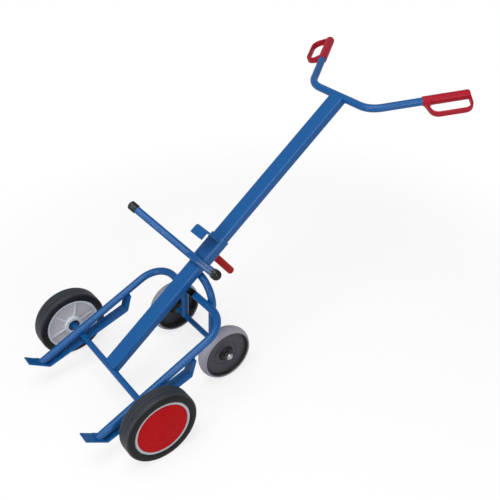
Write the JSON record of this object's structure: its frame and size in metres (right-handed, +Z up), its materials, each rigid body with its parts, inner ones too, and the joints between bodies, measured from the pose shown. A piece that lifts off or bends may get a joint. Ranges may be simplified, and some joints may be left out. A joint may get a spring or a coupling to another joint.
{
  "type": "drum trolley",
  "caption": "Drum trolley with a slanted beam, splayed handlebar with guarded grips, claw feet, drum cradle, sliding rim hook and rear support wheels that let it park or carry a tilted drum.",
  "frame": {"origin": "On the floor under the middle of the parked trolley's box.", "axes": "+X is lateral, across the wheels; +Y points from the claws to the handlebar; +Z is up."},
  "size_m": [0.7744, 1.5014, 0.8494],
  "materials": {
    "frame_paint": "gloss",
    "tyre_black": "matte",
    "rim_silver": "satin",
    "cap_red": "gloss",
    "bush_black": "satin",
    "bright_steel": "satin",
    "support_grey": "matte",
    "hub_charcoal": "matte",
    "nut_chrome": "polished",
    "cap_black": "matte",
    "grip_crimson": "satin",
    "pull_red": "gloss"
  },
  "bodies": {
    "frame": {"main_beam": "frame_paint", "handlebar": "frame_paint", "left_grip": "grip_crimson", "right_grip": "grip_crimson", "lower_frame": "frame_paint", "left_claw": "frame_paint", "right_claw": "frame_paint", "beam_spacer": "frame_paint", "support_bow": "frame_paint", "main_axle": "frame_paint", "axle_washers": "bright_steel", "axle_retainers": "bright_steel", "support_axle": "frame_paint", "support_washers": "bright_steel", "support_nuts": "nut_chrome", "drum_cradle": "frame_paint", "left_cradle_cap": "cap_black", "right_cradle_cap": "cap_black"},
    "left_wheel": {"left_tyre": "tyre_black", "left_rim": "rim_silver", "left_hub_cap": "cap_red", "left_inner_bush": "bush_black", "left_outer_bush": "bush_black"},
    "left_support_wheel": {"left_support_tyre": "support_grey", "left_support_hub": "hub_charcoal", "left_support_bushes": "bush_black"},
    "right_wheel": {"right_tyre": "tyre_black", "right_rim": "rim_silver", "right_hub_cap": "cap_red", "right_inner_bush": "bush_black", "right_outer_bush": "bush_black"},
    "right_support_wheel": {"right_support_tyre": "support_grey", "right_support_hub": "hub_charcoal", "right_support_bushes": "bush_black"},
    "hook": {"hook_sleeve": "frame_paint", "drum_hook": "frame_paint", "pull_rod": "frame_paint", "pull_grip": "pull_red"}
  },
  "joints": [
    {"name": "left_wheel_spin", "type": "hinge", "parent": "frame", "child": "left_wheel", "pos_m": [-0.3088, -0.53986, 0.125], "axis": [1, 0, 0], "continuous": true},
    {"name": "left_support_spin", "type": "hinge", "parent": "frame", "child": "left_support_wheel", "pos_m": [-0.1592, -0.18666, 0.1], "axis": [1, 0, 0], "continuous": true},
    {"name": "right_wheel_spin", "type": "hinge", "parent": "frame", "child": "right_wheel", "pos_m": [0.3088, -0.53986, 0.125], "axis": [1, 0, 0], "continuous": true},
    {"name": "right_support_spin", "type": "hinge", "parent": "frame", "child": "right_support_wheel", "pos_m": [0.1592, -0.18666, 0.1], "axis": [1, 0, 0], "continuous": true},
    {"name": "hook_slide", "type": "slide", "parent": "frame", "child": "hook", "axis": [0, 0.8368, 0.5476], "range_m": [0, 0.61]}
  ]
}
